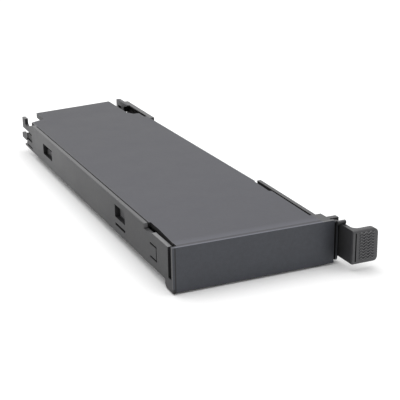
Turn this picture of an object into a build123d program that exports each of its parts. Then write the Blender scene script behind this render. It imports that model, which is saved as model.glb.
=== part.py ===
from build123d import *
import os
from math import pi, sin

# Front face of the blank
face_width = 114.0
face_height = 30.0
face_thickness = 2.5
face_edge_radius = 0.8
face_corner_chamfer = 1.6
corner_nick_level = 0.9
corner_nick_height = 1.4
corner_nick_depth = 1.9
lip_depth = 9.5
foot_length = 13.3
foot_radius = 3.2

# Body shell behind the face
body_inset = 8.2
plate_thickness = 3.0
wall_thickness = 3.0
wall_clearance = 5.2
wall_length = 344.0

# Rear end of the top plate
tongue_left = 16.5
tongue_right_inset = 11.8
tongue_left_length = 379.7
tongue_right_length = 395.2
tongue_rim_depth = 4.5
tongue_rim_thickness = 2.2
left_notch_length = 345.5
left_notch_slope = 8.0
right_notch_length = 334.5
right_notch_chamfer = 4.0
tongue_wall_setback = 5.0

# Groove and gap between the left wall and the plate
groove_width = 0.8
groove_depth = 1.6
groove_end = 329.0
front_gap_width = 2.1
front_gap_mouth = 0.4
notch_start = 34.3
notch_end = 49.3
notch_depth = 3.2
front_strip_drop = 1.6
wall_slot_width = 5.0
wall_slot_floor = 8.1

# Windows and tab in the left wall
window_height = 9.2
front_window_start = 86.0
front_window_length = 20.5
front_window_floor = 16.4
rear_window_start = 269.5
rear_window_length = 27.5
rear_window_floor = 13.4
slit_height = 1.8
slit_drop = 4.2
tab_start = 26.6
tab_length = 11.5
tab_floor = 10.8
tab_height = 10.4
tab_gap = 1.2
stop_clearance = 0.6
front_stop_overrun = 0.3
front_stop_drop = 0.3
front_stop_height = 5.2
rear_stop_overrun = 4.8
rear_stop_drop = 3.1
rear_stop_height = 6.9
rail_clearance = 6.0
rail_thickness = 2.0

# Comb at the rear end of the left wall
wall_slope_start = 334.0
wall_slope_drop = 2.7
comb_start = 336.5
hook_start = 358.6
hook_end = 368.2
hook_rise = 0.8
hook_throat = 4.6
hook_throat_rise = 1.8
neck_top = 24.6
finger_gap = 1.3
upper_gap = 1.9
upper_gap_level = 19.2
middle_gap_level = 13.1
lower_gap_level = 7.3
finger_reach = 20.0
finger_knee = 3.6
finger_recess = 0.5
middle_finger_end = 372.0
lower_finger_end = 362.5
lower_finger_tip = 1.4

# Spring arms on the right side
slot_root = 15.3
slot_plate_inset = 1.8
slot_step = 72.0
front_arm_end = 98.4
front_arm_thickness = 2.8
front_arm_stand_off = 2.6
front_arm_splay = 2.2
arm_floor = 8.0
rear_arm_root = 312.0
rear_arm_root_length = 7.5
rear_arm_length = 75.0
rear_arm_thickness = 4.4
rear_arm_stand_off = 4.2
rear_arm_splay = 1.2
rear_arm_web = 1.4
rear_arm_flange = 1.0
rear_arm_foot = 1.5
rear_arm_foot_clearance = 1.0
rear_hook_length = 20.5
rear_hook_overrun = 14.0
rear_hook_width = 4.0
rear_hook_inset = 3.3
rear_hook_depth = 9.0
rear_hook_taper = 11.0
rear_hook_taper_rise = 2.9
rear_hook_pocket_start = 3.5
rear_hook_pocket_length = 12.0
rear_hook_pocket_top = 4.5
rear_hook_pocket_depth = 2.4

# Release lever at the right end of the face
cheek_gap = 1.5
cheek_thickness = 1.4
cheek_floor = 1.5
cheek_setback = 0.3
lever_gap = 0.85
lever_thickness = 3.1
lever_reach = 12.0
lever_floor = 4.1
lever_top = 27.0
lug_start = 4.2
lug_end = 8.3
lug_drop = 0.9
lug_grip = 1.7
knuckle_radius = 1.5
knuckle_reach = 0.4
knuckle_drop = 2.1
knuckle_overrun = 0.7
pad_width = 18.65
pad_thickness = 4.7
pad_corner_radius = 3.4
pad_front_radius = 1.6
pad_foot_radius = 0.8
pad_fillet = 3.8
pad_groove_width = 0.9
pad_groove_depth = 1.5
pad_rib_width = 1.7

# Wavy grip on the pad
grip_count = 10
grip_margin = 2.8
grip_inset = 5.1
grip_side_margin = 3.0
grip_width = 1.1
grip_crest = 0.3
grip_height = 0.5
grip_waves = 3
grip_wave_steps = 12
grip_swing = 0.5

# Ribs under the plate
rib_thickness = 2.0
rib_depth = 8.0
long_rib_count = 2
cross_rib_count = 8

# How far pieces run into each other, and cuts run out of them
overlap = 1.0

top = face_height
plate_under = top - plate_thickness
body_width = face_width - body_inset
tongue_right = body_width - tongue_right_inset
slot_plate_edge = body_width - slot_plate_inset
right_wall_outer = slot_plate_edge - groove_width
right_wall_inner = right_wall_outer - wall_thickness
block_right = face_width - cheek_gap
rail_start = wall_thickness + rail_clearance


def prism(points, low, high):
    """A flat outline in plan, raised from one height to another."""
    outline = make_face(Polyline(*points, close=True))
    return Pos(0, 0, low) * extrude(outline, high - low)


def side_plate(points, start, thickness):
    """An outline drawn as length and height, given a thickness across the body."""
    outline = Plane.YZ * make_face(Polyline(*points, close=True))
    return Pos(start, 0, 0) * extrude(outline, thickness)


def block(x, y, z):
    """A box given by its low and high limits on each axis."""
    low_corner = (x[0], y[0], z[0])
    return Pos(*low_corner) * Box(x[1] - x[0], y[1] - y[0], z[1] - z[0], align=(Align.MIN,) * 3)


def top_plate():
    """The plate with its stepped right edge, its two rear notches and its slanted rear edge."""
    outline = [
        (0, 0),
        (0, wall_slope_start),
        (wall_thickness, wall_slope_start),
        (wall_thickness, left_notch_length),
        (tongue_left, left_notch_length + left_notch_slope),
        (tongue_left, tongue_left_length),
        (tongue_right, tongue_right_length),
        (tongue_right, right_notch_length + 2 * right_notch_chamfer),
        (tongue_right + right_notch_chamfer, right_notch_length),
        (right_wall_outer, right_notch_length),
        (right_wall_outer, rear_arm_root),
        (body_width, rear_arm_root),
        (body_width, front_arm_end),
        (body_width - groove_width, front_arm_end),
        (slot_plate_edge, slot_step + groove_width),
        (body_width, slot_step),
        (slot_plate_edge, slot_root),
        (block_right, slot_root),
        (block_right, 0),
    ]
    return prism(outline, plate_under, top)


def tongue_rim():
    """The lip that turns down along the free edges of the rear tongue, deeper on its right side."""
    front = left_notch_length + left_notch_slope
    inset = tongue_rim_thickness
    outer = [
        (tongue_left, front),
        (tongue_left, tongue_left_length),
        (tongue_right, tongue_right_length),
        (tongue_right, right_notch_length),
    ]
    inner = [
        (tongue_right - inset, right_notch_length),
        (tongue_right - inset, tongue_right_length - inset),
        (tongue_left + inset, tongue_left_length - inset),
        (tongue_left + inset, front),
    ]
    rim = prism(outer + inner, top - tongue_rim_depth, top)
    side = block(
        (tongue_right - inset, tongue_right),
        (right_notch_length - overlap, tongue_right_length - tongue_wall_setback),
        (arm_floor, plate_under + overlap),
    )
    step = block(
        (tongue_right - inset, right_wall_inner + overlap),
        (right_notch_length - wall_thickness, right_notch_length),
        (arm_floor, plate_under + overlap),
    )
    return rim + side + step


def left_wall():
    """The left wall from the face to the comb, with the foot at its front end."""
    shell = side_plate(
        [
            (0, 0),
            (foot_length, 0),
            (foot_length, wall_clearance),
            (wall_length, wall_clearance),
            (wall_length, top - wall_slope_drop),
            (wall_slope_start, top),
            (0, top),
        ],
        0,
        wall_thickness,
    )
    foot_corner = shell.edges().filter_by(Axis.X).sort_by_distance((0, foot_length, 0))[0:1]
    return fillet(foot_corner, foot_radius)


def comb():
    """The hook and the two fingers that carry on behind the left wall."""
    root = wall_length - overlap
    knee_start = comb_start + finger_reach - finger_knee
    knee_end = comb_start + finger_reach
    hook = side_plate(
        [
            (root, upper_gap_level + upper_gap),
            (hook_end, upper_gap_level + upper_gap),
            (hook_end, top + hook_rise),
            (hook_start, top + hook_rise),
            (hook_start, neck_top + hook_throat_rise),
            (hook_start - hook_throat, neck_top),
            (wall_length, top - wall_slope_drop),
            (root, top - wall_slope_drop),
        ],
        0,
        wall_thickness,
    )
    middle = side_plate(
        [
            (root, middle_gap_level + finger_gap),
            (root, upper_gap_level),
            (knee_start, upper_gap_level),
            (knee_end, upper_gap_level - finger_knee),
            (middle_finger_end, upper_gap_level - finger_knee),
            (middle_finger_end, middle_gap_level + finger_gap - finger_knee),
            (knee_end, middle_gap_level + finger_gap - finger_knee),
            (knee_start + finger_knee / 2, middle_gap_level + finger_gap),
        ],
        0,
        wall_thickness,
    )
    lower = side_plate(
        [
            (root, wall_clearance),
            (root, middle_gap_level),
            (knee_start, middle_gap_level),
            (knee_end, lower_gap_level + finger_gap),
            (lower_finger_end, wall_clearance + lower_finger_tip),
            (lower_finger_end, wall_clearance),
        ],
        0,
        wall_thickness,
    )
    return hook + middle + lower


def comb_gaps():
    """Narrow saw cuts that part the fingers of the comb, and the recess in the middle finger."""
    knee_start = comb_start + finger_reach - finger_knee
    cuts = []
    for level, height, end in (
        (upper_gap_level, upper_gap, middle_finger_end),
        (middle_gap_level, finger_gap, knee_start + finger_knee / 2),
        (lower_gap_level, finger_gap, knee_start),
    ):
        through = (-overlap, wall_thickness + overlap)
        cuts.append(block(through, (comb_start, end), (level, level + height)))
    recess_height = (middle_gap_level + finger_gap / 2, upper_gap_level + upper_gap / 2)
    cuts.append(block((-overlap, finger_recess), (comb_start, knee_start), recess_height))
    return cuts


def left_wall_cuts():
    """Windows, slit, tab, notch, slot and gap in and beside the left wall."""
    through = (-overlap, wall_thickness + overlap)
    cuts = []
    for start, length, floor in (
        (front_window_start, front_window_length, front_window_floor),
        (rear_window_start, rear_window_length, rear_window_floor),
    ):
        cuts.append(block(through, (start, start + length), (floor, floor + window_height)))
    slit_floor = front_window_floor - slit_drop - slit_height
    slit_span = (front_window_start, front_window_start + front_window_length)
    cuts.append(block(through, slit_span, (slit_floor, slit_floor + slit_height)))
    tab_top = tab_floor + tab_height
    tab_span = (tab_start, tab_start + tab_length)
    cuts.append(block(through, tab_span, (tab_top - tab_gap, tab_top)))
    cuts.append(block(through, tab_span, (tab_floor, tab_floor + tab_gap)))
    cuts.append(block(through, (tab_start, tab_start + tab_gap), (tab_floor, tab_top)))
    slot_end = face_thickness + wall_slot_width
    over = top + hook_rise + overlap
    cuts.append(block(through, (face_thickness, slot_end), (wall_slot_floor, over)))
    outside = (-overlap, wall_thickness)
    cuts.append(block(outside, (slot_end - overlap, notch_end), (top - front_strip_drop, over)))
    cuts.append(block(outside, (notch_start, notch_end), (top - notch_depth, over)))
    gap_outline = [
        (wall_thickness, face_thickness),
        (wall_thickness + front_gap_mouth, face_thickness),
        (wall_thickness + front_gap_width, notch_start),
        (wall_thickness + front_gap_width, notch_end),
        (wall_thickness, notch_end),
    ]
    cuts.append(prism(gap_outline, plate_under - overlap, over))
    groove_span = (wall_thickness, wall_thickness + groove_width)
    cuts.append(block(groove_span, (notch_end - overlap, groove_end), (top - groove_depth, over)))
    return cuts


def window_stops():
    """The rail inside the left wall, and the stops that it holds behind the two windows."""
    rail_height = (arm_floor, plate_under + overlap)
    rail = block((rail_start, rail_start + rail_thickness), (lip_depth, left_notch_length), rail_height)
    across = (wall_thickness + stop_clearance, rail_start + overlap)
    front_end = front_window_start + front_window_length + front_stop_overrun
    front_level = front_window_floor - front_stop_drop
    front_stop = block(across, (front_window_start, front_end), (front_level, front_level + front_stop_height))
    rear_end = rear_window_start + rear_window_length + rear_stop_overrun
    rear_level = rear_window_floor - rear_stop_drop
    rear_stop = block(across, (rear_window_start, rear_end), (rear_level, rear_level + rear_stop_height))
    return rail + front_stop + rear_stop


def front_face():
    """The front panel with its chamfered left corner, softened edges and bottom lip."""
    panel = block((0, face_width), (0, face_thickness), (0, face_height))
    corner = panel.edges().filter_by(Axis.Z).sort_by_distance((0, 0, top / 2))[0:1]
    panel = chamfer(corner, face_corner_chamfer)
    front_edges = panel.faces().sort_by(Axis.Y)[0].edges().filter_by(Axis.X)
    panel = fillet(front_edges, face_edge_radius)
    nick_span = (-overlap, corner_nick_depth)
    panel = panel - block(nick_span, nick_span, (corner_nick_level, corner_nick_level + corner_nick_height))
    lip = block((0, block_right), (face_thickness - overlap, lip_depth), (0, face_thickness))
    side_wall = (block_right - face_thickness, block_right)
    side = block(side_wall, (face_thickness - overlap, lug_end), (0, plate_under + overlap))
    return panel + lip + side


def right_wall():
    """The right wall, which stands inside the two spring arms."""
    return side_plate(
        [
            (0, wall_clearance),
            (right_notch_length, wall_clearance),
            (right_notch_length, plate_under + overlap),
            (0, plate_under + overlap),
        ],
        right_wall_inner,
        wall_thickness,
    )


def front_arm():
    """The front spring arm, rooted behind the face and splayed outwards to its free end."""
    root_edge = body_width + front_arm_stand_off
    end_edge = root_edge + front_arm_splay
    outline = [
        (root_edge, slot_root - overlap),
        (end_edge, front_arm_end),
        (end_edge - front_arm_thickness, front_arm_end),
        (root_edge - front_arm_thickness, slot_root - overlap),
    ]
    root = block((right_wall_inner, block_right), (lug_end - overlap, slot_root), (arm_floor, top))
    return prism(outline, arm_floor, top) + root


def rear_arm():
    """The rear spring arm, a channel in section, with the hook plate at its free end."""
    root_edge = body_width + rear_arm_stand_off
    end = rear_arm_root + rear_arm_length
    end_edge = root_edge + rear_arm_splay

    def strip(width):
        return [
            (root_edge, rear_arm_root),
            (end_edge, end),
            (end_edge - width, end),
            (root_edge - width, rear_arm_root),
        ]

    flange = prism(strip(rear_arm_thickness), top - rear_arm_flange, top)
    web = prism(strip(rear_arm_web), arm_floor, top)
    root_span = (rear_arm_root, rear_arm_root + rear_arm_root_length)
    root = block((right_wall_inner, root_edge), root_span, (arm_floor, top))

    foot_outline = [
        (root_edge, rear_arm_root),
        (end_edge, end),
        (tongue_right + rear_arm_foot_clearance, end),
        (tongue_right + rear_arm_foot_clearance, right_notch_length + rear_arm_foot_clearance),
        (right_wall_outer + rear_arm_foot_clearance, right_notch_length + rear_arm_foot_clearance),
        (right_wall_outer + rear_arm_foot_clearance, rear_arm_root),
    ]
    foot = prism(foot_outline, arm_floor, arm_floor + rear_arm_foot)

    hook_end_level = end + rear_hook_overrun
    hook_start_level = hook_end_level - rear_hook_length
    hook_outer = end_edge - rear_hook_inset
    hook_inner = hook_outer - rear_hook_width
    plate = side_plate(
        [
            (hook_end_level, top),
            (hook_end_level, top - rear_hook_depth),
            (hook_start_level, top - rear_hook_depth),
            (hook_start_level, top - rear_hook_taper_rise - rear_arm_flange),
            (hook_start_level - rear_hook_taper, top - rear_arm_flange),
            (hook_start_level - rear_hook_taper, top),
        ],
        hook_inner,
        rear_hook_width,
    )
    bridge = block((hook_outer - overlap, end_edge), (hook_start_level, end), (top - rear_hook_depth, top))
    pocket_start = hook_start_level + rear_hook_pocket_start
    pocket = block(
        (hook_inner - overlap, hook_inner + rear_hook_pocket_depth),
        (pocket_start, pocket_start + rear_hook_pocket_length),
        (top - rear_hook_depth - overlap, top - rear_hook_pocket_top),
    )
    return flange + web + root + foot + bridge + (plate - pocket)


def lever():
    """Cheek, lug, lever arm and knuckle between the face and the finger pad."""
    cheek_start = face_width + cheek_gap
    cheek_end = cheek_start + cheek_thickness
    arm_start = cheek_end + lever_gap
    arm_end = arm_start + lever_thickness
    cheek_top = top - lug_drop
    cheek = block((cheek_start, cheek_end), (cheek_setback, lug_end), (cheek_floor, cheek_top))
    foot_edge = cheek.edges().filter_by(Axis.X).sort_by_distance((cheek_start, 0, cheek_floor))[0:1]
    cheek = fillet(foot_edge, cheek_thickness)
    lug = block((block_right - overlap, arm_start + lug_grip), (lug_start, lug_end), (cheek_floor, top))
    bridge = block((block_right, cheek_end), (cheek_setback, lug_end), (cheek_top - lug_drop, cheek_top))
    arm = block((arm_start, arm_end), (-lever_reach - overlap, lug_start + overlap), (lever_floor, lever_top))
    knuckle = Plane.YZ * Circle(knuckle_radius)
    knuckle = extrude(knuckle, arm_end + knuckle_overrun - cheek_start)
    knuckle = Pos(cheek_start, -knuckle_reach, top - knuckle_drop) * knuckle
    return cheek + lug + bridge + arm + knuckle


def finger_pad():
    """The pad across the lever's front end, with rounded corners, rib, groove and grip."""
    arm_start = face_width + cheek_gap + cheek_thickness + lever_gap
    arm_end = arm_start + lever_thickness
    pad_right = arm_start + pad_width
    back = -lever_reach
    front = back - pad_thickness
    across = (arm_start, pad_right)
    high = (lever_floor, lever_top)
    pad = block(across, (front, back), high)
    long_edges = pad.edges().filter_by(Axis.X).group_by(Axis.Y)[0].sort_by(Axis.Z)
    pad = fillet(long_edges[-1], pad_front_radius)
    long_edges = pad.edges().filter_by(Axis.X).group_by(Axis.Y)[0].sort_by(Axis.Z)
    pad = fillet(long_edges[0], pad_foot_radius)
    rounded = block(across, (front - overlap, back + overlap), high)
    corners = rounded.edges().filter_by(Axis.Y).group_by(Axis.X)[-1]
    pad = pad & fillet(corners, pad_corner_radius)

    hollow_corner = (arm_end + pad_fillet, back + pad_fillet)
    corner = block((arm_end - overlap, hollow_corner[0]), (back - overlap, hollow_corner[1]), high)
    hollow = Pos(*hollow_corner, lever_floor) * Cylinder(
        pad_fillet, lever_top - lever_floor, align=(Align.CENTER, Align.CENTER, Align.MIN)
    )
    groove_start = arm_start + pad_rib_width
    groove = block(
        (groove_start, groove_start + pad_groove_width),
        (front - overlap, front + pad_groove_depth),
        (lever_floor + pad_rib_width, lever_top - pad_front_radius),
    )
    ridges = grip_ridges(arm_start + grip_inset, pad_right - grip_side_margin, front)
    return pad + (corner - hollow) - groove + ridges


def grip_ridges(left, right, front):
    """Wavy ridges with sloped flanks, stacked from the foot of the pad to its head."""
    low = lever_floor + grip_margin
    high = lever_top - pad_front_radius - grip_width
    pitch = (high - low) / (grip_count - 1)
    steps = grip_waves * grip_wave_steps
    ridges = []
    for index in range(grip_count):
        middle = []
        for step in range(steps + 1):
            across = left + (right - left) * step / steps
            wave = grip_swing * sin(2 * pi * grip_waves * step / steps)
            middle.append((across, low + index * pitch + grip_width / 2 + wave))
        sections = []
        for depth, half_width in ((grip_height, grip_width / 2), (-grip_height, grip_crest / 2)):
            lower = [(across, level - half_width) for across, level in middle]
            upper = [(across, level + half_width) for across, level in reversed(middle)]
            section = Plane.XZ * make_face(Polyline(*lower, *upper, close=True))
            sections.append(Pos(0, front + depth, 0) * section)
        ridges.append(loft(sections, ruled=True))
    return ridges


def ribs():
    """Long and cross ribs that stiffen the plate from below."""
    pieces = []
    height = (plate_under - rib_depth, plate_under + overlap)
    inner_width = right_wall_inner - rail_start
    for index in range(long_rib_count):
        start = rail_start + inner_width * (index + 1) / (long_rib_count + 1)
        along = (face_thickness - overlap, left_notch_length)
        pieces.append(block((start, start + rib_thickness), along, height))
    for index in range(cross_rib_count):
        start = right_notch_length * (index + 1) / (cross_rib_count + 1)
        across = (rail_start, right_wall_inner + overlap)
        pieces.append(block(across, (start, start + rib_thickness), height))
    return pieces


blank = top_plate() + tongue_rim() + left_wall() + comb() + front_face() + right_wall()
blank = blank + window_stops() + ribs()
blank = blank - left_wall_cuts() - comb_gaps()
blank = blank + front_arm() + rear_arm() + lever() + finger_pad()

# The origin is at the middle of the footprint, on the ground
bounds = blank.bounding_box()
blank = Pos(-bounds.center().X, -bounds.center().Y, -bounds.min.Z) * blank

os.makedirs("parts", exist_ok=True)
export_step(blank, "parts/slot_blank.step")
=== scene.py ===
import bpy
from mathutils import Matrix, Vector

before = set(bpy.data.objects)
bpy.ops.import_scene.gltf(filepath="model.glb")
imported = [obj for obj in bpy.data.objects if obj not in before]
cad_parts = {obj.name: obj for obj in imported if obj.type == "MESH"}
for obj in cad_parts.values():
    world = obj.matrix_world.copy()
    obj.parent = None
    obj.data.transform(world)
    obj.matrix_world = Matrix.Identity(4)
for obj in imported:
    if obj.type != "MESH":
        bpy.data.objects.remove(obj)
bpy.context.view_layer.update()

# Camera: its place and its axes in the frame of the part, in metres, and its lens in millimetres
CAMERA_PLACE = (-0.270935, -0.699969, 0.246339)
CAMERA_RIGHT = (0.914513, -0.404292, -0.014651)
CAMERA_UP = (0.142689, 0.288453, 0.946802)
CAMERA_BACK = (-0.378558, -0.867953, 0.321482)
LENS = 87.5355
SENSOR = 36.0
NEAREST_SEEN = 0.01

# Light and surroundings: the world's strength, the lamp's watts, and places and sizes in metres
WORLD_STRENGTH = 0.82
WHITE = (1.0, 1.0, 1.0, 1.0)
SOFTBOX_PLACE = (-0.1, 0.3, 1.3)
SOFTBOX_SIZE = 1.8
SOFTBOX_POWER = 14.0
PAPER = (0.98, 0.98, 0.98, 1.0)
PAPER_ROUGHNESS = 0.9
FLOOR_REACH = 4.0

# The floor lies just under the lip, as the dark line in front of it in the photo shows
FLOOR_LEVEL = -0.0011

# Colours of the plastic, plain and at the top of its painted highlights and painted light, and what the
# plate and the face multiply them by
PLASTIC = (0.0290, 0.0292, 0.0320)
PAINTED_HIGHLIGHT = (0.1760, 0.1755, 0.1800)
PAINTED_HIGHLIGHT_SHADE = 6.0
PLATE_TINT = (0.97, 0.99, 1.21)
FACE_TINT = (0.91, 1.0, 1.17)

# Texture: noise scales and details, how much each noise varies the finish, and the bump in metres
GRAIN_SCALE = 1400.0
GRAIN_DETAIL = 2.0
SPECK_SCALE = 420.0
BLOTCH_SCALE = 38.0
COARSE_DETAIL = 3.0
NOISE_MIDDLE = 0.5
GRAIN_SHADE = 0.50
SPECK_SHADE = 0.50
BLOTCH_SHADE = 0.30
BLOTCH_ROUGHNESS = 0.10
SPECK_HEIGHT = 0.6
GRAIN_HEIGHT = 0.4
BUMP_STRENGTH = 0.25
BUMP_DISTANCE = 0.0001

# Recesses, which get painted shade: how far the look around a point reaches in metres, and how it is
# sampled
RECESS_REACH = 0.014
RECESS_SAMPLES = 6

# Shares of the finish: 1 is the plain shade of the plastic
PLAIN_SHADE = 1.0
PLAIN_ROUGHNESS = 0.42
RECESS_ROUGHNESS = 0.5
SPECULAR = 0.5
# Painted light on the window stops: a base lift, and more where the recess around them is deeper
STOP_SHADE = 0.2
DEEP_STOP_SHADE = 8.0

# Painted light and shade that each area adds to the shade, before the painted shade of the recesses
# darkens it
OPEN_SHADES = {
    # Painted highlights on the slender tops, the wall's top strips, the face's rim, the pad and its
    # ridge crests
    "slender": 0.30,
    "wall_strip": 1.15,
    "front_strip": 3.8,
    "rim": 2.3,
    "pad": 0.70,
    "crest": 3.6,
    # Painted shade on the side faces, lifted by painted light towards the rear of the wall and deepened
    # at its end and on the comb
    "sideways": -0.35,
    "rear_wall": 0.14,
    "wall_end": -0.18,
    "comb": -0.4,
    # Painted light on the plate, fading to painted shade towards its rear, a painted light band and a
    # painted shade line behind the face's top edge, and painted light on the face
    "plate": 0.33,
    "rear_plate": -0.50,
    "front_band": 0.85,
    "front_line": -1.0,
    "face": 0.15,
}

# Painted shade and light that each area adds after that
FIXED_SHADES = {
    # Painted shade in the groove, on the rear arm's web, on the plate's side in the gap and in the
    # nick, a thin dark line down the face's left edge, and painted light on the chamfered corner, the
    # hook's inner side and the notch's end face
    "groove": -0.8,
    "web": -1.0,
    "gap_side": -1.0,
    "dark_line": -1.6,
    "corner": 1.1,
    "nick": -2.0,
    "hook_side": 1.6,
    "notch_end": 4.0,
}

# What each area adds to the roughness
ROUGHNESSES = {
    "sideways": 0.14,
    "rear_wall": -0.10,
    "slender": -0.16,
    "groove": 0.3,
    "web": 0.5,
    "gap_side": 0.5,
    "wall_end": 0.06,
    "comb": 0.15,
}

# How far a surface has turned to count as facing a direction, as a part of its normal
SLANTED = 0.6
STRAIGHT = 0.8
HALFWAY = 0.5
TURN_BLEND = 0.1
RIM_TURN_BLEND = 0.2

# Half widths of the blends at the edges of areas, in metres
CRISP = 0.0001
SHARP = 0.0002
SOFT = 0.0003
FACE_BLEND = 0.0005
GAP_END_BLEND = 0.0005
GAP_FLOOR_BLEND = 0.001
PAD_BLEND = 0.001
FRONT_BAND_BLEND = 0.0032
COMB_BLEND = 0.012

# Edges of the areas on the plate and beside it, in the frame of the part, in metres
PLATE_LEFT = -0.0640
PLATE_RIGHT = 0.0376
PLATE_LEVEL = 0.0297
PLATE_FADE = 0.19
FRONT_BAND_END = -0.1826
FRONT_LINE_REAR = -0.1878
FRONT_LINE_FRONT = -0.1889
GROOVE_START = -0.1890
GROOVE_RIGHT = -0.0642
GROOVE_TOP = 0.0298

# Edges of the areas on the face
FACE_FRONT = -0.1930
FACE_BACK = -0.1900
FACE_LEFT = -0.0664
FACE_RIM = -0.1904
FACE_RIM_LEVEL = 0.0290
# Sides of the thin dark line down the face's left edge
DARK_LINE_LEFT = -0.0668
DARK_LINE_RIGHT = -0.0660
NICK_TOP = 0.0025

# Edges of the areas on the left wall
WALL_INNER = -0.0652
WALL_FRONT = -0.1000
WALL_REAR = 0.0600
WALL_STRIP_EDGE = -0.0676
WALL_STRIP_FLOOR = 0.0278
FRONT_STRIP_END = -0.1576
NOTCH_END = -0.1426
NOTCH_END_REACH = 0.0004
GAP_SIDE_LEFT = -0.0655
GAP_SIDE_RIGHT = -0.0620
GAP_FLOOR = 0.0220
STOP_FACE = -0.0648
STOP_BACK = -0.0640
STOP_TOP = 0.0250
COMB_START = 0.1430
COMB_FACE = -0.0680

# Edges of the areas on the rear arm and its hook, and on the lever's finger pad
ARM_ROOT = 0.1200
ARM_INNER = 0.0400
HOOK_START = 0.1650
HOOK_LEFT = 0.0350
HOOK_RIGHT = 0.0365
PAD_BACK = -0.2070
RIDGE_CREST = -0.2088


def node(tree, kind, **values):
    """Adds a shader node and sets its properties by name."""
    made = tree.nodes.new(kind)
    for name, value in values.items():
        setattr(made, name, value)
    return made


def calc(tree, operation, *values):
    """Adds a maths node on sockets or plain numbers."""
    made = node(tree, "ShaderNodeMath", operation=operation)
    for socket, value in zip(made.inputs, values):
        if isinstance(value, float):
            socket.default_value = value
        else:
            tree.links.new(value, socket)
    return made.outputs[0]


def rise(tree, value, start, end):
    """Nought up to the start, one from the end on, and even in between."""
    made = node(tree, "ShaderNodeMapRange")
    made.inputs["From Min"].default_value = start
    made.inputs["From Max"].default_value = end
    tree.links.new(value, made.inputs["Value"])
    return made.outputs["Result"]


def above(tree, value, edge, blend):
    """One where a value is over an edge, nought where it is under."""
    return rise(tree, value, edge - blend, edge + blend)


def under(tree, value, edge, blend):
    """One where a value is under an edge, nought where it is over."""
    return calc(tree, "SUBTRACT", 1.0, above(tree, value, edge, blend))


def between(tree, value, low, high, blend):
    """One where a value lies between two edges, nought elsewhere."""
    return calc(tree, "MULTIPLY", above(tree, value, low, blend), under(tree, value, high, blend))


def every(tree, *masks):
    """The product of several masks."""
    result = masks[0]
    for mask in masks[1:]:
        result = calc(tree, "MULTIPLY", result, mask)
    return result


def noise(tree, place, scale, detail):
    """Solid noise in the space of the part."""
    made = node(tree, "ShaderNodeTexNoise")
    made.inputs["Scale"].default_value = scale
    made.inputs["Detail"].default_value = detail
    tree.links.new(place, made.inputs["Vector"])
    return made.outputs["Fac"]


def vary(tree, value, texture, amount):
    """A value that a noise raises and lowers about its middle."""
    return calc(tree, "MULTIPLY_ADD", calc(tree, "SUBTRACT", texture, NOISE_MIDDLE), amount, value)


def add_areas(tree, value, areas, weights):
    """A value with each named area added by its weight."""
    for name, weight in weights.items():
        value = calc(tree, "MULTIPLY_ADD", areas[name], weight, value)
    return value


def plate_areas(tree, x, y, z, upward):
    """Masks of the top plate, of all slender tops beside it, and of the groove at its left, which get
    painted light and shade.
    """
    right_of_groove = above(tree, x, PLATE_LEFT, SHARP)
    before_groove = under(tree, y, GROOVE_START, SHARP)
    plate = every(
        tree,
        upward,
        calc(tree, "MAXIMUM", right_of_groove, before_groove),
        under(tree, x, PLATE_RIGHT, CRISP),
        above(tree, z, PLATE_LEVEL, CRISP),
    )
    return {
        "plate": plate,
        "slender": calc(tree, "SUBTRACT", upward, plate),
        "rear_plate": every(tree, plate, rise(tree, y, -PLATE_FADE, PLATE_FADE)),
        "front_band": every(
            tree,
            plate,
            above(tree, y, FRONT_LINE_REAR, SHARP),
            under(tree, y, FRONT_BAND_END, FRONT_BAND_BLEND),
        ),
        "front_line": every(tree, plate, between(tree, y, FRONT_LINE_FRONT, FRONT_LINE_REAR, SHARP)),
        "groove": every(
            tree,
            between(tree, x, WALL_INNER, GROOVE_RIGHT, CRISP),
            between(tree, z, STOP_TOP, GROOVE_TOP, CRISP),
            above(tree, y, GROOVE_START, SHARP),
        ),
    }


def face_areas(tree, x, y, z, facing, frontal):
    """Masks of the face and its rim, which get painted light, and of its left corner with the chamfer's
    painted light, the dark line and the nick's painted shade.
    """
    return {
        "face": every(tree, frontal, between(tree, y, FACE_FRONT, FACE_BACK, FACE_BLEND)),
        "rim": every(
            tree,
            under(tree, y, FACE_RIM, SOFT),
            above(tree, z, FACE_RIM_LEVEL, SOFT),
            above(tree, x, FACE_LEFT, SOFT),
            above(tree, facing["Z"], SLANTED, RIM_TURN_BLEND),
        ),
        "corner": every(
            tree,
            under(tree, facing["X"], -HALFWAY, TURN_BLEND),
            under(tree, y, FACE_BACK, SOFT),
            under(tree, x, FACE_LEFT, CRISP),
        ),
        # A thin dark line darkened down the face's left edge
        "dark_line": every(
            tree,
            frontal,
            under(tree, y, FACE_BACK, SOFT),
            between(tree, x, DARK_LINE_LEFT, DARK_LINE_RIGHT, CRISP),
        ),
        "nick": every(
            tree,
            under(tree, y, FACE_BACK, CRISP),
            under(tree, x, DARK_LINE_RIGHT, CRISP),
            under(tree, z, NICK_TOP, CRISP),
        ),
    }


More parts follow.
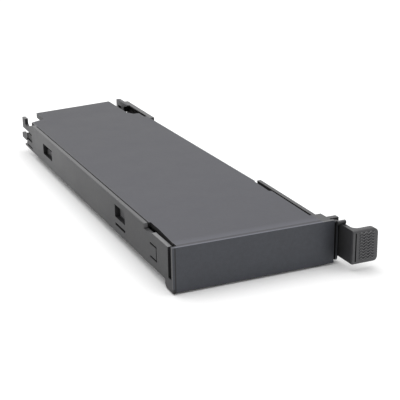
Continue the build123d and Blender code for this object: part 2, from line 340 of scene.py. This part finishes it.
def wall_areas(tree, x, y, z, upward, sideways, frontal):
    """Masks of the left wall, its top strip, notch, gap and window stops, and the comb at its end,
    which get painted light and shade.
    """
    strip = every(
        tree,
        upward,
        under(tree, x, WALL_INNER, SHARP),
        above(tree, y, GROOVE_START, SHARP),
        above(tree, z, WALL_STRIP_FLOOR, CRISP),
    )
    wall_end = every(tree, sideways, above(tree, y, COMB_START, COMB_BLEND))
    notch_places = (NOTCH_END - NOTCH_END_REACH, NOTCH_END + NOTCH_END_REACH)
    return {
        "wall_strip": every(tree, strip, above(tree, x, WALL_STRIP_EDGE, SOFT)),
        "front_strip": every(tree, strip, under(tree, y, FRONT_STRIP_END, SOFT)),
        "notch_end": every(
            tree,
            frontal,
            under(tree, x, WALL_INNER, SHARP),
            between(tree, y, *notch_places, CRISP),
        ),
        "gap_side": every(
            tree,
            sideways,
            between(tree, x, GAP_SIDE_LEFT, GAP_SIDE_RIGHT, CRISP),
            under(tree, y, NOTCH_END, GAP_END_BLEND),
            above(tree, z, GAP_FLOOR, GAP_FLOOR_BLEND),
        ),
        "stops": every(
            tree,
            sideways,
            between(tree, x, STOP_FACE, STOP_BACK, CRISP),
            under(tree, z, STOP_TOP, CRISP),
        ),
        "rear_wall": every(tree, sideways, rise(tree, y, WALL_FRONT, WALL_REAR)),
        "wall_end": wall_end,
        "comb": every(tree, wall_end, between(tree, x, COMB_FACE, WALL_INNER, CRISP)),
    }


def arm_areas(tree, x, y, facing, sideways):
    """Masks of the rear arm's web, its hook's side, the finger pad and the crests of its ridges, which
    get painted shade and light.
    """
    return {
        "web": every(
            tree,
            under(tree, facing["X"], -STRAIGHT, TURN_BLEND),
            above(tree, x, ARM_INNER, CRISP),
            above(tree, y, ARM_ROOT, CRISP),
        ),
        "hook_side": every(
            tree,
            sideways,
            above(tree, y, HOOK_START, CRISP),
            between(tree, x, HOOK_LEFT, HOOK_RIGHT, CRISP),
        ),
        "pad": under(tree, y, PAD_BACK, PAD_BLEND),
        "crest": under(tree, y, RIDGE_CREST, CRISP),
    }


def roughness_and_painted_light_areas(tree, coordinates):
    """Masks of all areas of the moulding with painted light or shade, or a roughness, of their own, by
    name.
    """
    spot = node(tree, "ShaderNodeSeparateXYZ")
    tree.links.new(coordinates.outputs["Object"], spot.inputs[0])
    x, y, z = spot.outputs
    normal = node(tree, "ShaderNodeSeparateXYZ")
    tree.links.new(coordinates.outputs["Normal"], normal.inputs[0])
    facing = normal.outputs
    upward = above(tree, facing["Z"], SLANTED, TURN_BLEND)
    sideways = above(tree, calc(tree, "ABSOLUTE", facing["X"]), STRAIGHT, TURN_BLEND)
    frontal = under(tree, facing["Y"], -STRAIGHT, TURN_BLEND)
    return {
        "sideways": sideways,
        **plate_areas(tree, x, y, z, upward),
        **face_areas(tree, x, y, z, facing, frontal),
        **wall_areas(tree, x, y, z, upward, sideways, frontal),
        **arm_areas(tree, x, y, facing, sideways),
    }


def plastic_colour(tree, areas, grain, speck, blotch, openness, depth):
    """The plastic's colour: a shade that varies with texture, with painted light and shade by area and
    painted shade in recesses, from black to the painted highlight colour.
    """
    shade = vary(tree, PLAIN_SHADE, grain, GRAIN_SHADE)
    shade = vary(tree, shade, blotch, BLOTCH_SHADE)
    shade = vary(tree, shade, speck, SPECK_SHADE)
    shade = add_areas(tree, shade, areas, OPEN_SHADES)
    # Painted shade in recesses: the shade is multiplied twice by the openness around the point
    shade = every(tree, shade, openness, openness)
    shade = add_areas(tree, shade, areas, FIXED_SHADES)
    # Painted light on the window stops, stronger where they sit deeper in their recess
    stop_shade = calc(tree, "MULTIPLY_ADD", depth, DEEP_STOP_SHADE, STOP_SHADE)
    shade = calc(tree, "MULTIPLY_ADD", areas["stops"], stop_shade, shade)

    # Shade 0 is black, 1 the plain plastic, and the painted highlight colour at the top of the painted
    # light
    ramp = node(tree, "ShaderNodeValToRGB")
    ramp.color_ramp.elements[0].color = (0, 0, 0, 1)
    ramp.color_ramp.elements[1].color = PAINTED_HIGHLIGHT + (1,)
    ramp.color_ramp.elements.new(1 / PAINTED_HIGHLIGHT_SHADE).color = PLASTIC + (1,)
    tree.links.new(calc(tree, "DIVIDE", shade, PAINTED_HIGHLIGHT_SHADE), ramp.inputs["Fac"])

    colour = ramp.outputs["Color"]
    for area, tint in (("plate", PLATE_TINT), ("face", FACE_TINT)):
        tinted = node(tree, "ShaderNodeMix", data_type="RGBA", blend_type="MULTIPLY")
        tinted.inputs["B"].default_value = tint + (1,)
        tree.links.new(areas[area], tinted.inputs["Factor"])
        tree.links.new(colour, tinted.inputs["A"])
        colour = tinted.outputs["Result"]
    return colour


def plastic_bump(tree, grain, speck):
    """Fine relief of the moulded texture."""
    grain_relief = calc(tree, "MULTIPLY", grain, GRAIN_HEIGHT)
    height = calc(tree, "MULTIPLY_ADD", speck, SPECK_HEIGHT, grain_relief)
    bump = node(tree, "ShaderNodeBump")
    bump.inputs["Strength"].default_value = BUMP_STRENGTH
    bump.inputs["Distance"].default_value = BUMP_DISTANCE
    tree.links.new(height, bump.inputs["Height"])
    return bump.outputs["Normal"]


def plastic():
    """Black plastic: a textured plate, smoother rims and arms, painted highlights on the ridges and
    painted shade in recesses.
    """
    material = bpy.data.materials.new("matte_plastic")
    material.use_nodes = True
    tree = material.node_tree
    tree.nodes.clear()
    coordinates = node(tree, "ShaderNodeTexCoord")
    areas = roughness_and_painted_light_areas(tree, coordinates)
    grain = noise(tree, coordinates.outputs["Object"], GRAIN_SCALE, GRAIN_DETAIL)
    speck = noise(tree, coordinates.outputs["Object"], SPECK_SCALE, COARSE_DETAIL)
    blotch = noise(tree, coordinates.outputs["Object"], BLOTCH_SCALE, COARSE_DETAIL)

    # Openness around each point: its square gives the painted shade in recesses, and its lack roughens
    # recesses and lifts the painted light on the window stops
    recess = node(tree, "ShaderNodeAmbientOcclusion", only_local=True, samples=RECESS_SAMPLES)
    recess.inputs["Distance"].default_value = RECESS_REACH
    openness = recess.outputs["AO"]
    depth = calc(tree, "SUBTRACT", 1.0, openness)

    roughness = vary(tree, PLAIN_ROUGHNESS, blotch, BLOTCH_ROUGHNESS)
    roughness = add_areas(tree, roughness, areas, ROUGHNESSES)
    roughness = calc(tree, "MULTIPLY_ADD", depth, RECESS_ROUGHNESS, roughness)

    shader = node(tree, "ShaderNodeBsdfPrincipled")
    shader.inputs["Specular IOR Level"].default_value = SPECULAR
    colour = plastic_colour(tree, areas, grain, speck, blotch, openness, depth)
    tree.links.new(colour, shader.inputs["Base Color"])
    tree.links.new(roughness, shader.inputs["Roughness"])
    tree.links.new(plastic_bump(tree, grain, speck), shader.inputs["Normal"])
    output = node(tree, "ShaderNodeOutputMaterial")
    tree.links.new(shader.outputs["BSDF"], output.inputs["Surface"])
    return material


def surroundings():
    """Plain white surroundings that light the part from all sides."""
    world = bpy.data.worlds.new("studio")
    bpy.context.scene.world = world
    world.use_nodes = True
    light = world.node_tree.nodes["Background"]
    light.inputs["Color"].default_value = WHITE
    light.inputs["Strength"].default_value = WORLD_STRENGTH


def floor():
    """A large sheet of white paper under the part."""
    mesh = bpy.data.meshes.new("floor")
    signs = ((-1, -1), (1, -1), (1, 1), (-1, 1))
    corners = [(across * FLOOR_REACH, along * FLOOR_REACH, FLOOR_LEVEL) for across, along in signs]
    mesh.from_pydata(corners, [], [(0, 1, 2, 3)])
    sheet = bpy.data.objects.new("floor", mesh)
    bpy.context.scene.collection.objects.link(sheet)
    paper = bpy.data.materials.new("floor_paper")
    paper.use_nodes = True
    surface = paper.node_tree.nodes["Principled BSDF"]
    surface.inputs["Base Color"].default_value = PAPER
    surface.inputs["Roughness"].default_value = PAPER_ROUGHNESS
    surface.inputs["Specular IOR Level"].default_value = 0.0
    mesh.materials.append(paper)


def softbox():
    """A soft square lamp over the part, aimed at the middle of its footprint."""
    lamp = bpy.data.lights.new("top_softbox", "AREA")
    lamp.shape = "SQUARE"
    lamp.size = SOFTBOX_SIZE
    lamp.energy = SOFTBOX_POWER
    holder = bpy.data.objects.new("top_softbox", lamp)
    bpy.context.scene.collection.objects.link(holder)
    holder.location = SOFTBOX_PLACE
    holder.rotation_euler = (-Vector(SOFTBOX_PLACE)).to_track_quat("-Z", "Y").to_euler()


def camera():
    """The photograph's view."""
    lens = bpy.data.cameras.new("camera")
    lens.sensor_width = SENSOR
    lens.lens = LENS
    lens.clip_start = NEAREST_SEEN
    holder = bpy.data.objects.new("camera", lens)
    bpy.context.scene.collection.objects.link(holder)
    axes = Matrix((CAMERA_RIGHT, CAMERA_UP, CAMERA_BACK)).transposed().to_4x4()
    holder.matrix_world = Matrix.Translation(CAMERA_PLACE) @ axes
    bpy.context.scene.camera = holder


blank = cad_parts["slot_blank"]
blank.data.materials.clear()
blank.data.materials.append(plastic())
surroundings()
floor()
softbox()
camera()
bpy.context.scene.view_settings.view_transform = "Standard"
